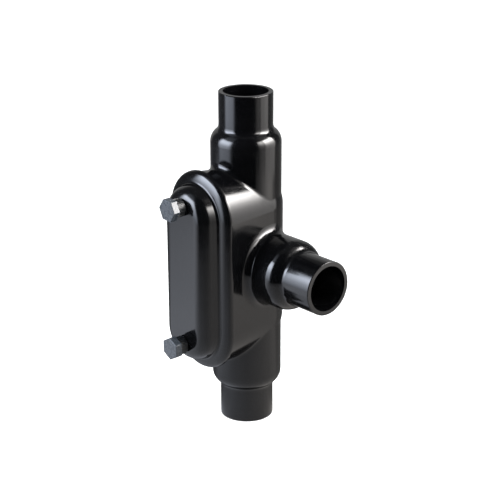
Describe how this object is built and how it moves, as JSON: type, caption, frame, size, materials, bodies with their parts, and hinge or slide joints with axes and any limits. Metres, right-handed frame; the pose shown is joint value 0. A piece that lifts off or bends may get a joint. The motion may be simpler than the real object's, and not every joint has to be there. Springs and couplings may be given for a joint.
{
  "type": "conduit body",
  "caption": "Jacketed T conduit body: trough with a domed oblong cover, hex screws with moulded heads, threaded hubs and thin sleeves that grip coated conduit.",
  "frame": {"origin": "centre of the lower sleeve's mouth, on the run axis", "axes": "+Z along the run from the lower sleeve to the upper one, +X out of the branch hub, -Y out of the cover"},
  "size_m": [0.101, 0.0857, 0.214],
  "materials": {
    "jacket": "thick gloss black coating",
    "cap": "moulded black plastic, satin gloss",
    "iron": "zinc-coated casting under a clear red-brown primer",
    "steel": "zinc plated",
    "seal": "matte"
  },
  "bodies": {
    "root": {"body_casting": "iron", "body_jacket": "jacket", "cover_plate": "steel", "cover_jacket": "jacket", "cover_gasket": "seal", "screw_bolt_upper": "steel", "screw_cap_upper": "cap", "screw_washer_upper": "seal", "screw_bolt_lower": "steel", "screw_cap_lower": "cap", "screw_washer_lower": "seal"}
  },
  "joints": []
}
